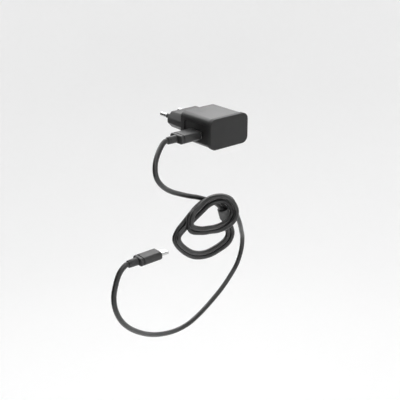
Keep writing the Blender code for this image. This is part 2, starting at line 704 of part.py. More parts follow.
def build():
    clear_scene()
    shell = make_material("housing_plastic", (0.028, 0.028, 0.029), 0.36)
    cover = make_material("cover_plastic", (0.048, 0.048, 0.050), 0.42)
    neck = make_material("neck_plastic", (0.024, 0.024, 0.025), 0.42)
    panel = make_material("panel_plastic", (0.020, 0.020, 0.021), 0.45)
    nickel = make_material("pin_nickel", (0.78, 0.77, 0.74), 0.22, 1.0)
    sleeve = make_material("sleeve_plastic", (0.018, 0.018, 0.019), 0.5)
    spring = make_material("spring_bronze", (0.72, 0.48, 0.26), 0.3, 1.0)
    steel = make_material("usb_steel", (0.74, 0.75, 0.76), 0.28, 1.0)
    tongue = make_material("tongue_plastic", (0.85, 0.85, 0.83), 0.5)
    gold = make_material("contact_gold", (0.92, 0.70, 0.32), 0.25, 1.0)
    rubber = make_material("plug_rubber", (0.035, 0.035, 0.037), 0.5)
    jacket = make_material("cord_jacket", (0.040, 0.040, 0.042), 0.48)
    strap = make_material("tie_strap", (0.05, 0.05, 0.052), 0.9)
    green = make_material("board_green", (0.03, 0.16, 0.06), 0.45)
    sheet = make_material("insulation_film", (0.75, 0.72, 0.60), 0.4)
    ferrite = make_material("ferrite", (0.05, 0.05, 0.055), 0.7)
    bobbin = make_material("bobbin_plastic", (0.10, 0.09, 0.07), 0.6)
    copper = make_material("winding_tape", (0.75, 0.55, 0.10), 0.4)
    palette = {
        "capacitor": make_material("capacitor_film", (0.05, 0.06, 0.10), 0.35),
        "output": make_material("output_film", (0.04, 0.12, 0.09), 0.35),
        "resistor": make_material("resistor_body", (0.20, 0.42, 0.45), 0.5),
        "chip": make_material("chip_epoxy", (0.03, 0.03, 0.03), 0.55),
        "safety": make_material("safety_blue", (0.05, 0.16, 0.42), 0.45),
        "ferrite": ferrite,
    }
    make_main_housing(shell)
    make_front_cover(cover)
    make_port_panel(panel)
    make_plug_neck(neck)
    make_pins(nickel, sleeve, spring)
    make_boards(green)
    make_insulation(sheet)
    make_transformer(ferrite, bobbin, copper)
    make_components(palette)
    make_usb_port(steel, tongue, gold)
    make_usb_plug(steel, tongue, gold, rubber)
    make_far_plug(steel, tongue, rubber)
    make_cord(jacket, strap)


build()
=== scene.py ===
"""Looks of the USB wall charger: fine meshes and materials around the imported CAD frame.

Units are metres, with lengths written in millimetres times MM. +Y points into the wall,
the origin is the middle of the plug face, and the cable leaves the charger's left side.
"""
from collections import namedtuple
import json
import math

import bmesh
import bpy
from mathutils import Matrix, Vector


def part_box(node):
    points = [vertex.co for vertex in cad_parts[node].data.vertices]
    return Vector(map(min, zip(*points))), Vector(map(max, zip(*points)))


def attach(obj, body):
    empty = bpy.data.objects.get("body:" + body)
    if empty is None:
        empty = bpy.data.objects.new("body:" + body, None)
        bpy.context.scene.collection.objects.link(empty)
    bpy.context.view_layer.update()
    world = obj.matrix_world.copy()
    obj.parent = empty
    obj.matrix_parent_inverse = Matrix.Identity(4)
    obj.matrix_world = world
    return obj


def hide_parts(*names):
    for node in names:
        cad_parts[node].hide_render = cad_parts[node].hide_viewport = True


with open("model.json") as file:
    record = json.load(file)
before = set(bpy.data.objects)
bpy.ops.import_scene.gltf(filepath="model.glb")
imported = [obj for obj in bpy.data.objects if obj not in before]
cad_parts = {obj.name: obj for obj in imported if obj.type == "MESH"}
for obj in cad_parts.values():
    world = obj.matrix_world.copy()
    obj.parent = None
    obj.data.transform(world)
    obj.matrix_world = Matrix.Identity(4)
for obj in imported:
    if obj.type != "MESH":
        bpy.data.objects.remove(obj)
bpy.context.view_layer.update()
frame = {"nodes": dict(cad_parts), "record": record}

MM = 0.001
GAP = 0.3 * MM
SIDES = ("left", "right")
# Degrees between two faces from which the edge between them stays sharp
SHARP_ANGLE = 35

# Camera, as it stands to the object in the photograph
CAMERA_PLACE = Vector((-413.4, -518.4, 191.0)) * MM
CAMERA_AZIMUTH = math.radians(-39.78)
CAMERA_ELEVATION = math.radians(22.07)
CAMERA_ROLL = math.radians(-0.21)
CAMERA_LENS = 72.0
SENSOR_WIDTH = 36.0

# Front cover and housing
CAP_CORNER = 5.8 * MM
CAP_EDGE = 0.8 * MM
CAP_FACE = 2.0 * MM
CAP_STEPS = 14
LIP = 1.0 * MM
BODY_CORNER = 5.2 * MM
BODY_EDGE = 0.7 * MM
WALL = 2.0 * MM
SLOT_WIDTH = 4.0 * MM
SLOT_HEIGHT = 2.0 * MM
SLOT_CORNER = 0.4 * MM
OVERSHOOT = 1.0 * MM

# Port and its panel
PANEL_CORNER = 2.0 * MM
PANEL_POCKET = 1.3 * MM
PORT_CORNER = 0.8 * MM

# Plug neck and pins
NECK_DRAFT = 0.5 * MM
NECK_WALL = 1.8 * MM
NECK_EDGE = 0.9 * MM
NECK_CORNER = 1.6 * MM
NECK_SLANT = 0.66
NECK_END = 0.32
PIN_RADIUS = 2.0 * MM
PIN_SHANK = 1.4 * MM
PIN_NOSE = 1.6 * MM
PIN_TAPER = 1.2 * MM
PIN_CHAMFER = 0.1 * MM
PIN_STEP = 0.2 * MM
PIN_NOSE_RINGS = 8
SLEEVE_INNER = PIN_SHANK + 0.15 * MM
SLEEVE_EDGE = 0.15 * MM

# Cable plugs
GRIP_CORNER = 2.6 * MM
GRIP_EDGE = 1.3 * MM
FAR_GRIP_CORNER = 2.4 * MM
GROOVE_FROM_END = 3.6 * MM
SHEET = 0.3 * MM
SHELL_EDGE = 0.08 * MM
SHELL_CORNER = 0.5 * MM
FAR_SHELL_CORNER = 1.15 * MM
SHELL_WINDOW = (2.4 * MM, 2.0 * MM)
SHELL_WINDOW_CORNER = 0.25 * MM
SHELL_WINDOW_ALONG = 0.56
SHELL_WINDOW_ACROSS = 0.24
# The groove round a grip: (way along, way inward) in mm
GRIP_GROOVE = [(0.0, 0.0), (0.06, 0.25), (0.1, 0.6), (0.9, 0.6), (0.94, 0.25), (1.0, 0.0)]
# A strain relief's outline: (distance from its cord end in mm, share of its full radius)
RELIEF_PROFILE = [
    (2.0, 0.95), (1.85, 0.94), (1.8, 0.86), (1.25, 0.86), (1.2, 0.93), (0.35, 0.92), (0.1, 0.86),
    (0.0, 0.76), (0.0, 0.60),
]

# Strap round the loops; where its shape changes is a share of its length, from its hidden end on
TIE_TILT = math.radians(17)
TIE_INSIDE = 4.4 * MM
TIE_THICKNESS = 0.55 * MM
TIE_WIDTH = 9.0 * MM
TIE_RISE = 4.2 * MM
TIE_CORNER = 0.2 * MM
TIE_SLACK = 0.08 * MM
TIE_LIFT = 0.9 * MM
TIE_START = math.radians(-10)
TIE_SWEEP = math.radians(430)
TIE_STEPS = 96
TIE_OVERLAP = (0.82, 0.87)
TIE_FREE_END = (0.93, 1.0)
TIE_TIP = (0.96, 1.0)
TIE_TIP_NARROWING = 0.3

# Cord
CORD_DIAMETER = 4.2 * MM
COIL_AXIS = Vector((0.600, 0.695, -0.397)).normalized()

# The cord's route in millimetres, with the CAD's points: the way into the coil, the middle lines of its
# two loops, and the tail
LEAD_IN = [
    (-48.8, -40.5, -2.3), (-51.0, -40.5, -2.4), (-54.0, -41.2, -3.8), (-58.9, -43.6, -6.9),
    (-64.0, -47.0, -10.3), (-67.9, -50.0, -14.1), (-69.8, -52.0, -18.7), (-69.3, -52.3, -23.8),
    (-66.5, -51.4, -29.0), (-61.6, -49.8, -34.5), (-55.0, -47.4, -39.8), (-47.5, -45.0, -44.6),
    (-39.4, -42.5, -48.8), (-31.0, -40.0, -53.0), (-23.0, -38.3, -56.6), (-14.5, -36.8, -60.2),
]
BIG_LOOP = [
    (-6.5, -38.0, -65.0), (1.0, -38.0, -67.0), (8.5, -38.0, -71.5), (13.0, -38.0, -77.5),
    (14.5, -38.0, -83.5), (16.5, -38.0, -90.0), (20.0, -38.0, -98.0), (21.0, -38.0, -105.0),
    (17.0, -38.0, -110.0), (9.0, -38.0, -113.0), (-2.0, -38.0, -115.0), (-14.0, -38.0, -114.0),
    (-25.0, -38.0, -108.5), (-34.5, -38.0, -100.0), (-39.5, -38.0, -91.5), (-37.5, -38.0, -85.5),
    (-31.5, -38.0, -79.5), (-26.0, -38.0, -75.0), (-20.5, -38.0, -70.0), (-14.0, -38.0, -66.5),
]
SMALL_LOOP = [
    (-9.5, -48.0, -61.0), (1.5, -48.0, -62.0), (11.0, -48.0, -67.5), (16.5, -48.0, -76.5),
    (15.0, -48.0, -83.5), (7.5, -48.0, -87.5), (-2.5, -48.0, -88.0), (-12.0, -48.0, -86.0),
    (-22.0, -48.0, -83.0), (-29.5, -48.0, -77.0), (-29.0, -48.0, -71.0), (-24.5, -48.0, -67.5),
    (-17.5, -48.0, -63.5),
]
TAIL = [
    (22.8, -42.8, -80.5), (27.8, -40.2, -88.6), (34.0, -36.6, -98.0), (42.0, -30.1, -109.0),
    (49.4, -23.8, -120.5), (50.8, -21.3, -134.0), (46.5, -20.5, -147.5), (36.5, -21.5, -157.8),
    (24.5, -22.8, -166.7), (10.0, -24.5, -174.5), (-6.0, -28.5, -178.8), (-22.0, -32.3, -181.2),
    (-38.0, -36.0, -180.0), (-55.0, -41.5, -174.4), (-73.0, -48.0, -165.5), (-91.0, -56.0, -153.0),
    (-107.0, -63.0, -139.0), (-118.0, -67.8, -125.5), (-124.2, -70.5, -112.0), (-125.2, -71.0, -101.0),
    (-122.4, -70.8, -90.5), (-118.4, -70.3, -83.4), (-113.4, -70.0, -79.6), (-110.8, -70.0, -79.2),
]
# How the cord winds round the loops: the loop, points in a turn, and the keys that it passes through.
# A key is (turns from the loop's first point, mm outward, mm back along the coil's axis).
WINDS = [
    (BIG_LOOP, 16, [
        (0.03, 0.0, 2.2), (0.12, 1.6, 1.6), (0.2, 2.0, 1.0), (0.36, 2.1, 1.2), (0.6, 1.9, 0.4),
        (0.75, 1.0, -0.8), (0.85, 0.2, -1.6), (1.0, 0.0, -3.8),
    ]),
    (BIG_LOOP, 16, [
        (0.07, -1.3, -4.0), (0.15, -2.0, -1.6), (0.3, -2.0, -1.0), (0.6, -1.7, -3.4), (0.7, -2.0, -3.8),
        (0.78, -3.1, -2.6),
    ]),
    (SMALL_LOOP, 14, [
        (0.88, -2.2, 8.8), (1.0, -2.1, 6.2), (1.12, -1.7, 4.4), (1.25, -1.8, 2.4), (1.42, -1.9, -1.6),
        (1.52, -0.9, -3.2), (1.62, 0.0, -3.8), (1.69, 1.2, -4.0),
    ]),
    (SMALL_LOOP, 14, [
        (0.8, 1.4, -4.0), (0.9, 1.6, -3.0), (1.0, 1.9, -2.0), (1.2, 1.9, -1.6), (1.32, 2.1, -1.2),
        (1.42, 2.3, 0.6), (1.5, 2.2, 1.0), (1.6, 3.1, 0.8), (1.67, 5.0, 0.4),
    ]),
    (SMALL_LOOP, 14, [
        (0.76, 3.6, 0.5), (0.85, 2.6, 1.6), (0.92, 2.5, 2.6), (1.0, 2.6, 3.8), (1.16, 2.6, 5.4),
    ]),
]

# Studio
SUBJECT = (0.0, -0.04, -0.05)
FLOOR_HEIGHT = -0.95
FLOOR_MIDDLE = 0.3
FLOOR_FLAT = 0.8
FLOOR_REACH = 2.5
FLOOR_BEND = 0.9
FLOOR_BEND_STEPS = 16
FLOOR_SIDES = 96
WALL_TOP = 1.6

Box = namedtuple("Box", "low high middle size")


def box_of(name):
    """The box of a CAD node: its two corners, its middle and its size."""
    low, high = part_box(name)
    return Box(low, high, (low + high) / 2, high - low)


# Shapes


def link(name, mesh, materials, slot, body, replaces, angle=SHARP_ANGLE):
    """Makes a mesh into a finished piece with its material and body, and hides the CAD nodes that it stands
    for.
    """
    mesh.name = name
    mesh.materials.append(materials[slot])
    for face in mesh.polygons:
        face.use_smooth = True
    mesh.set_sharp_from_angle(angle=math.radians(angle))
    piece = bpy.data.objects.new(name, mesh)
    bpy.context.scene.collection.objects.link(piece)
    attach(piece, body)
    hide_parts(*replaces)
    return piece


def rounded(corners, radius, steps):
    """Points round a convex outline with every corner turned into an arc."""
    points = []
    count = len(corners)
    for index, corner in enumerate(corners):
        here = Vector(corner)
        before = (Vector(corners[index - 1]) - here).normalized()
        after = (Vector(corners[(index + 1) % count]) - here).normalized()
        half = before.angle(after) / 2
        centre = here + (before + after).normalized() * radius / math.sin(half)
        start = here + before * radius / math.tan(half) - centre
        for step in range(steps + 1):
            turn = (math.pi - 2 * half) * step / steps
            points.append(centre + Vector((
                start.x * math.cos(turn) - start.y * math.sin(turn),
                start.x * math.sin(turn) + start.y * math.cos(turn),
            )))
    return points


def rectangle(width, height, radius, steps=10):
    """A rectangle round the origin with round corners."""
    x, y = width / 2, height / 2
    return rounded([(-x, -y), (x, -y), (x, y), (-x, y)], radius, steps)


def circle(radius, sides=48):
    """A circle round the origin."""
    turns = [2 * math.pi * index / sides for index in range(sides)]
    return [Vector((radius * math.cos(turn), radius * math.sin(turn))) for turn in turns]


def section(outline, axis, distance, centre=(0.0, 0.0)):
    """The outline as a ring of points across X, Y or Z at that distance."""
    ring = []
    for point in outline:
        values = [point[0] + centre[0], point[1] + centre[1]]
        values.insert("XYZ".index(axis), distance)
        ring.append(Vector(values))
    return ring


def loft(rings, closed=False, last_end=True):
    """A mesh through rings that have the same number of points.

    Closed joins the last ring to the first. Without last_end it stays open at the last ring.
    """
    shape = bmesh.new()
    made = [[shape.verts.new(point) for point in ring] for ring in rings]
    pairs = list(zip(made, made[1:]))
    if closed:
        pairs.append((made[-1], made[0]))
    else:
        shape.faces.new(made[0])
        if last_end:
            shape.faces.new(made[-1])
    for ring, following in pairs:
        for index in range(len(ring)):
            after = (index + 1) % len(ring)
            shape.faces.new((ring[index], ring[after], following[after], following[index]))
    bmesh.ops.recalc_face_normals(shape, faces=shape.faces)
    mesh = bpy.data.meshes.new("loft")
    shape.to_mesh(mesh)
    shape.free()
    return mesh


def turned(profile, axis, centre, sides=48):
    """Round rings for a loft from (distance along the axis, radius) pairs."""
    return [section(circle(radius, sides), axis, distance, centre) for distance, radius in profile]


def prism(outline, axis, ends, centre):
    """A straight mesh of the outline between two distances along the axis."""
    return loft([section(outline, axis, end, centre) for end in ends])


def fillet(edge, steps=6):
    """(how far along, how far inward) pairs of a quarter-round edge, from its outer face inward."""
    turns = [math.pi / 2 * step / steps for step in range(steps + 1)]
    return [(edge * (1 - math.cos(turn)), edge * (1 - math.sin(turn))) for turn in turns]


def cut(piece, shapes):
    """Cuts the meshes out of the piece for good."""
    cutters = []
    for shape in shapes:
        cutter = bpy.data.objects.new("cutter", shape)
        bpy.context.scene.collection.objects.link(cutter)
        cutters.append(cutter)
        modifier = piece.modifiers.new("cut", "BOOLEAN")
        modifier.operation = "DIFFERENCE"
        modifier.solver = "EXACT"
        modifier.object = cutter
    graph = bpy.context.evaluated_depsgraph_get()
    mesh = bpy.data.meshes.new_from_object(piece.evaluated_get(graph))
    mesh.set_sharp_from_angle(angle=math.radians(SHARP_ANGLE))
    piece.modifiers.clear()
    piece.data = mesh
    for cutter in cutters:
        bpy.data.objects.remove(cutter)


def soften(piece, width, angle=40):
    """A fine rounding on every hard edge, so that it catches the light."""
    bevel = piece.modifiers.new("soften", "BEVEL")
    bevel.width = width
    bevel.segments = 3
    bevel.limit_method = "ANGLE"
    bevel.angle_limit = math.radians(angle)
    bevel.harden_normals = True
    bevel.use_clamp_overlap = True


# Materials


def node(tree, kind, inputs=None):
    """A new shader node with the given input values."""
    made = tree.nodes.new(kind)
    for name, value in (inputs or {}).items():
        made.inputs[name].default_value = value
    return made


def surface(name, dark, light, roughness, grain, bump, metallic=0.0, specular=0.5, stretch=(1, 1, 1)):
    """A moulded or drawn surface: colour that drifts between two tones, uneven gloss and a fine grain."""
    material = bpy.data.materials.new(name)
    material.use_nodes = True
    tree = material.node_tree
    shader = tree.nodes["Principled BSDF"]
    shader.inputs["Metallic"].default_value = metallic
    shader.inputs["Specular IOR Level"].default_value = specular
    place = node(tree, "ShaderNodeTexCoord")
    mapping = node(tree, "ShaderNodeMapping", {"Scale": stretch})
    tree.links.new(place.outputs["Object"], mapping.inputs["Vector"])
    drift = node(tree, "ShaderNodeTexNoise", {"Scale": 60.0, "Detail": 4.0, "Roughness": 0.6})
    fine = node(tree, "ShaderNodeTexNoise", {"Scale": grain, "Detail": 3.0, "Roughness": 0.55})
    for texture in (drift, fine):
        tree.links.new(mapping.outputs["Vector"], texture.inputs["Vector"])
    colours = node(tree, "ShaderNodeValToRGB")
    for stop, position, colour in zip(colours.color_ramp.elements, (0.3, 0.7), (dark, light)):
        stop.position = position
        stop.color = (*colour, 1.0)
    tree.links.new(drift.outputs["Fac"], colours.inputs["Fac"])
    tree.links.new(colours.outputs["Color"], shader.inputs["Base Color"])
    gloss = node(tree, "ShaderNodeMapRange", {
        "From Min": 0.3, "From Max": 0.7, "To Min": roughness[0], "To Max": roughness[1],
    })
    tree.links.new(fine.outputs["Fac"], gloss.inputs["Value"])
    tree.links.new(gloss.outputs["Result"], shader.inputs["Roughness"])
    relief = node(tree, "ShaderNodeBump", {"Strength": bump, "Distance": 0.05 * MM})
    tree.links.new(fine.outputs["Fac"], relief.inputs["Height"])
    tree.links.new(relief.outputs["Normal"], shader.inputs["Normal"])
    return material


def grey(level, tint=0.0):
    """A colour near a neutral grey; tint above nought makes it a touch cooler."""
    return (level, level * (1 + 0.3 * tint), level * (1 + tint))


def plastic(name, tones, roughness, grain, bump, specular=0.5):
    """A grey plastic or rubber between two tones."""
    dark, light = tones
    return surface(name, grey(dark), grey(light), roughness, grain, bump, specular=specular)


def metal(name, dark, light, roughness, grain, bump):
    """A drawn metal, with its grain stretched along one way."""
    return surface(name, dark, light, roughness, grain, bump, metallic=1.0, stretch=(1.0, 6.0, 1.0))


# One function for each material, named as its slot in the record


def housing_plastic():
    return plastic("housing_plastic", (0.011, 0.016), roughness=(0.30, 0.40), grain=9000, bump=0.25)


def cover_plastic():
    tones = (0.018, 0.023)
    return plastic("cover_plastic", tones, roughness=(0.42, 0.52), grain=7000, bump=0.35, specular=0.36)


def neck_plastic():
    return plastic("neck_plastic", (0.016, 0.022), roughness=(0.36, 0.46), grain=8000, bump=0.3)


def panel_plastic():
    return plastic("panel_plastic", (0.008, 0.012), roughness=(0.38, 0.48), grain=8000, bump=0.3)


def pin_nickel():
    return metal("pin_nickel", grey(0.62), grey(0.72), roughness=(0.16, 0.28), grain=3000, bump=0.1)


def sleeve_plastic():
    return plastic("sleeve_plastic", (0.012, 0.018), roughness=(0.42, 0.52), grain=8000, bump=0.25)


def spring_bronze():
    dark, light = (0.58, 0.36, 0.17), (0.72, 0.48, 0.26)
    return metal("spring_bronze", dark, light, roughness=(0.24, 0.36), grain=3000, bump=0.1)


def usb_steel():
    return metal("usb_steel", grey(0.60), grey(0.70), roughness=(0.22, 0.34), grain=4000, bump=0.12)


def tongue_plastic():
    return plastic("tongue_plastic", (0.70, 0.80), roughness=(0.40, 0.52), grain=6000, bump=0.2)


def contact_gold():
    dark, light = (0.80, 0.56, 0.22), (0.90, 0.68, 0.32)
    return metal("contact_gold", dark, light, roughness=(0.18, 0.30), grain=3000, bump=0.08)


def plug_rubber():
    return plastic("plug_rubber", (0.026, 0.034), roughness=(0.30, 0.40), grain=6500, bump=0.4)


def cord_jacket():
    tones = (0.014, 0.020)
    return plastic("cord_jacket", tones, roughness=(0.27, 0.36), grain=5200, bump=0.35, specular=0.6)


def tie_strap():
    return plastic("tie_strap", (0.11, 0.17), roughness=(0.60, 0.80), grain=2600, bump=0.9)


def board_green():
    dark, light = (0.012, 0.085, 0.03), (0.02, 0.12, 0.045)
    return surface("board_green", dark, light, roughness=(0.3, 0.42), grain=5000, bump=0.2)


def insulation_film():
    dark, light = (0.66, 0.62, 0.48), (0.74, 0.70, 0.58)
    return surface("insulation_film", dark, light, roughness=(0.26, 0.4), grain=2500, bump=0.15)


def ferrite():
    return surface("ferrite", grey(0.035, 0.1), grey(0.06, 0.1), roughness=(0.62, 0.8), grain=3500, bump=0.7)


def bobbin_plastic():
    return plastic("bobbin_plastic", (0.05, 0.07), roughness=(0.5, 0.62), grain=5000, bump=0.3)


def winding_tape():
    dark, light = (0.62, 0.42, 0.05), (0.74, 0.52, 0.08)
    return surface("winding_tape", dark, light, roughness=(0.24, 0.36), grain=2500, bump=0.2)


def capacitor_film():
    dark, light = (0.03, 0.035, 0.07), (0.045, 0.05, 0.09)
    return surface("capacitor_film", dark, light, roughness=(0.22, 0.34), grain=3500, bump=0.15)


def output_film():
    dark, light = (0.02, 0.08, 0.06), (0.03, 0.11, 0.08)
    return surface("output_film", dark, light, roughness=(0.22, 0.34), grain=3500, bump=0.15)


def resistor_body():
    dark, light = (0.12, 0.30, 0.33), (0.18, 0.38, 0.41)
    return surface("resistor_body", dark, light, roughness=(0.38, 0.5), grain=4000, bump=0.3)


def chip_epoxy():
    return plastic("chip_epoxy", (0.018, 0.028), roughness=(0.5, 0.62), grain=6000, bump=0.5)


def safety_blue():
    dark, light = (0.03, 0.11, 0.34), (0.05, 0.15, 0.42)
    return surface("safety_blue", dark, light, roughness=(0.34, 0.46), grain=4000, bump=0.35)


def studio_paper():
    """Plain matt paper, with a faint glow that evens out its brightness."""
    material = plastic("studio_paper", (0.92 * 0.99, 0.92), roughness=(0.8, 0.85), grain=40, bump=0.02)
    shader = material.node_tree.nodes["Principled BSDF"]
    shader.inputs["Emission Color"].default_value = (1.0, 1.0, 1.0, 1.0)
    shader.inputs["Emission Strength"].default_value = 0.08
    return material


def dark_card():
    """Matt black, for the card that darkens reflections."""
    return plastic("dark_card", (0.012 * 0.99, 0.012), roughness=(0.8, 0.85), grain=40, bump=0.02)


def make_materials():
    """The material of every slot in the record, under the slot's name."""
    makers = [
        housing_plastic, cover_plastic, neck_plastic, panel_plastic, pin_nickel, sleeve_plastic,
        spring_bronze, usb_steel, tongue_plastic, contact_gold, plug_rubber, cord_jacket, tie_strap,
        board_green, insulation_film, ferrite, bobbin_plastic, winding_tape, capacitor_film,
        output_film, resistor_body, chip_epoxy, safety_blue,
    ]
    return {make.__name__: make() for make in makers}


def dress_cad_nodes(materials):
    """Gives every CAD node the procedural material of its slot in the record."""
    for part in frame["record"]["subparts"]:
        item = frame["nodes"][part["node"]]
        item.data.materials.clear()
        item.data.materials.append(materials[part["material_slot"]])


# Cord


def catmull(before, here, there, after, t):
    """The point at share t of the way from here to there on a smooth curve through the four points."""
    return 0.5 * (
        2 * here + (there - before) * t
        + (2 * before - 5 * here + 4 * there - after) * t * t
        + (3 * here - before - 3 * there + after) * t * t * t
    )


def blend_keys(keys, share):
    """The outward and backward offsets at that share of the loop, straight between the keys."""
    for first, second in zip(keys, keys[1:]):
        if share <= second[0]:
            t = (share - first[0]) / (second[0] - first[0])
            return [a + (b - a) * t for a, b in zip(first[1:], second[1:])]
    return keys[-1][1:]


def wind(loop, per_turn, keys):
    """One turn of cord: points round the loop, moved outward and back as the keys say."""
    points = [Vector(point) for point in loop]
    count = len(points)
    middle = sum(points, Vector()) / count
    start, end = keys[0][0], keys[-1][0]
    steps = round((end - start) * per_turn)
    nudge = 0.01
    turn = []
    for step in range(steps + 1):
        share = start + (end - start) * step / steps
        place = (share % 1) * count
        index = int(place)
        four = [points[(index + offset) % count] for offset in (-1, 0, 1, 2)]
        here = catmull(*four, place - index)
        ahead = catmull(*four, place - index + nudge)
        outward = (ahead - here).cross(COIL_AXIS).normalized()
        if outward.dot(here - middle) < 0:
            outward = -outward
        out, back = blend_keys(keys, share)
        turn.append(here + outward * out + COIL_AXIS * back)
    return turn


def cord_route():
    """The whole cord's points in metres: lead-in, the turns of the coil, and the tail to the far plug."""
    route = [Vector(point) for point in LEAD_IN]
    for loop, per_turn, keys in WINDS:
        route += wind(loop, per_turn, keys)
    route += [Vector(point) for point in TAIL]
    return [point * MM for point in route]


def smooth(route, parts=8):
    """The route with each stretch between two points divided along a smooth curve."""
    points = []
    for index in range(len(route) - 1):
        here, there = route[index], route[index + 1]
        before = route[index - 1] if index > 0 else 2 * here - there
        after = route[index + 2] if index + 2 < len(route) else 2 * there - here
        points += [catmull(before, here, there, after, part / parts) for part in range(parts)]
    points.append(route[-1])
    return points


def make_cord(materials):
    """The jacket from one strain relief to the other, with the coil's real strands."""
    curve = bpy.data.curves.new("charging_cord", "CURVE")
    curve.dimensions = "3D"
    curve.bevel_depth = CORD_DIAMETER / 2
    curve.bevel_resolution = 8
    curve.use_fill_caps = True
    points = smooth(cord_route())
    spline = curve.splines.new("POLY")
    spline.points.add(len(points) - 1)
    for target, point in zip(spline.points, points):
        target.co = (*point, 1.0)
    spline.use_smooth = True
    curve.materials.append(materials["cord_jacket"])
    cord = bpy.data.objects.new("charging_cord", curve)
    bpy.context.scene.collection.objects.link(cord)
    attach(cord, "cable")
    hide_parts("cord_lead_in", "cord_coil", "cord_tail")
    return cord


# Housing


def make_housing(materials):
    """The hollow box behind the cover, with an opening for the port and two slots for the springs."""
    body = box_of("main_housing")
    panel = box_of("port_panel")
    port = box_of("usb_port_shell")
    inside = rectangle(body.size.x - 2 * WALL, body.size.z - 2 * WALL, BODY_CORNER - WALL)
    outside = rectangle(body.size.x, body.size.z, BODY_CORNER)
    rings = [
        section(inside, "Y", body.high.y - WALL), section(inside, "Y", body.low.y),
        section(outside, "Y", body.low.y),
    ]
    for along, inward in reversed(fillet(BODY_EDGE)):
        outline = rectangle(body.size.x - 2 * inward, body.size.z - 2 * inward, BODY_CORNER - inward)
        rings.append(section(outline, "Y", body.high.y - along))
    housing = link("housing_shell", loft(rings), materials, "housing_plastic", "charger", ["main_housing"])
    pocket = rectangle(panel.size.y + 2 * GAP, panel.size.z + 2 * GAP, PANEL_CORNER + GAP)
    window = rectangle(port.size.y + 2 * GAP, port.size.z + 2 * GAP, PORT_CORNER)
    slot = rectangle(SLOT_WIDTH, SLOT_HEIGHT, SLOT_CORNER)
    start = body.low.x - OVERSHOOT
    pocket_ends = (start, body.low.x + PANEL_POCKET)
    window_ends = (start, body.low.x + WALL + OVERSHOOT)
    slot_ends = (body.high.y + OVERSHOOT, body.high.y - WALL - OVERSHOOT)
    shapes = [
        prism(pocket, "X", pocket_ends, (panel.middle.y, panel.middle.z)),
        prism(window, "X", window_ends, (port.middle.y, port.middle.z)),
    ]
    for side in SIDES:
        pin = box_of(f"pin_{side}").middle
        shapes.append(prism(slot, "Y", slot_ends, (pin.x, pin.z)))
    cut(housing, shapes)
    soften(housing, width=0.22 * MM)


def make_cover(materials):
    """The flat front with its round edge, and the lip that goes inside the housing."""
    cap = box_of("front_cover")
    body = box_of("main_housing")
    rear = body.low.y - GAP
    rings = []
    for along, inward in fillet(CAP_EDGE, steps=8):
        outline = rectangle(cap.size.x - 2 * inward, cap.size.z - 2 * inward, CAP_CORNER - inward, CAP_STEPS)
        rings.append(section(outline, "Y", cap.low.y + along))
    outside = rectangle(cap.size.x, cap.size.z, CAP_CORNER, CAP_STEPS)
    width = body.size.x - 2 * WALL - 2 * GAP
    height = body.size.z - 2 * WALL - 2 * GAP
    corner = BODY_CORNER - WALL - GAP
    lip = rectangle(width, height, corner, CAP_STEPS)
    inside = rectangle(width - 2 * LIP, height - 2 * LIP, corner - LIP, CAP_STEPS)
    rings += [
        section(outside, "Y", rear), section(lip, "Y", rear), section(lip, "Y", cap.high.y),
        section(inside, "Y", cap.high.y), section(inside, "Y", cap.low.y + CAP_FACE),
    ]
    cover = link("front_cap", loft(rings), materials, "cover_plastic", "charger", ["front_cover"])
    soften(cover, width=0.15 * MM, angle=60)


def make_panel(materials):
    """The slightly sunk field round the port."""
    panel = box_of("port_panel")
    port = box_of("usb_port_shell")
    outer = rectangle(panel.size.y, panel.size.z, PANEL_CORNER)
    inner = rectangle(port.size.y + 2 * GAP, port.size.z + 2 * GAP, PORT_CORNER)
    centre = (panel.middle.y, panel.middle.z)
    hole = (port.middle.y, port.middle.z)
    rings = [
        section(outer, "X", panel.low.x, centre), section(outer, "X", panel.high.x, centre),
        section(inner, "X", panel.high.x, hole), section(inner, "X", panel.low.x, hole),
    ]
    mesh = loft(rings, closed=True)
    piece = link("side_port_panel", mesh, materials, "panel_plastic", "charger", ["port_panel"])
    soften(piece, width=0.15 * MM)


def plug_outline(width, height, grow):
    """The flattened hexagon of a flat two-pin plug, with short upright ends, made wider by grow all round."""
    half_width = width / 2 + grow
    half_height = height / 2 + grow
    shoulder = half_width - NECK_SLANT * half_height
    end = NECK_END * half_height
    corners = [
        (-shoulder, -half_height), (shoulder, -half_height), (half_width, -end), (half_width, end),
        (shoulder, half_height), (-shoulder, half_height), (-half_width, end), (-half_width, -end),
    ]
    return rounded(corners, NECK_CORNER, steps=6)


def make_neck(materials):
    """The hollow part that goes into the socket, a little wider at the housing, with holes for the pins."""
    neck = box_of("plug_neck")
    width = neck.size.x - 2 * NECK_DRAFT
    height = neck.size.z - 2 * NECK_DRAFT
    profile = [(-NECK_WALL, -NECK_WALL), (neck.low.y, NECK_DRAFT - NECK_WALL), (neck.low.y, NECK_DRAFT)]
    profile += [(-along, -inward) for along, inward in reversed(fillet(NECK_EDGE))]
    rings = [section(plug_outline(width, height, grow), "Y", y) for y, grow in profile]
    piece = link("plug_body", loft(rings), materials, "neck_plastic", "charger", ["plug_neck"])
    hole = circle(PIN_RADIUS + GAP)
    shapes = []
    for side in SIDES:
        pin = box_of(f"pin_{side}").middle
        shapes.append(prism(hole, "Y", (OVERSHOOT, -NECK_WALL - OVERSHOOT), (pin.x, pin.z)))
    cut(piece, shapes)


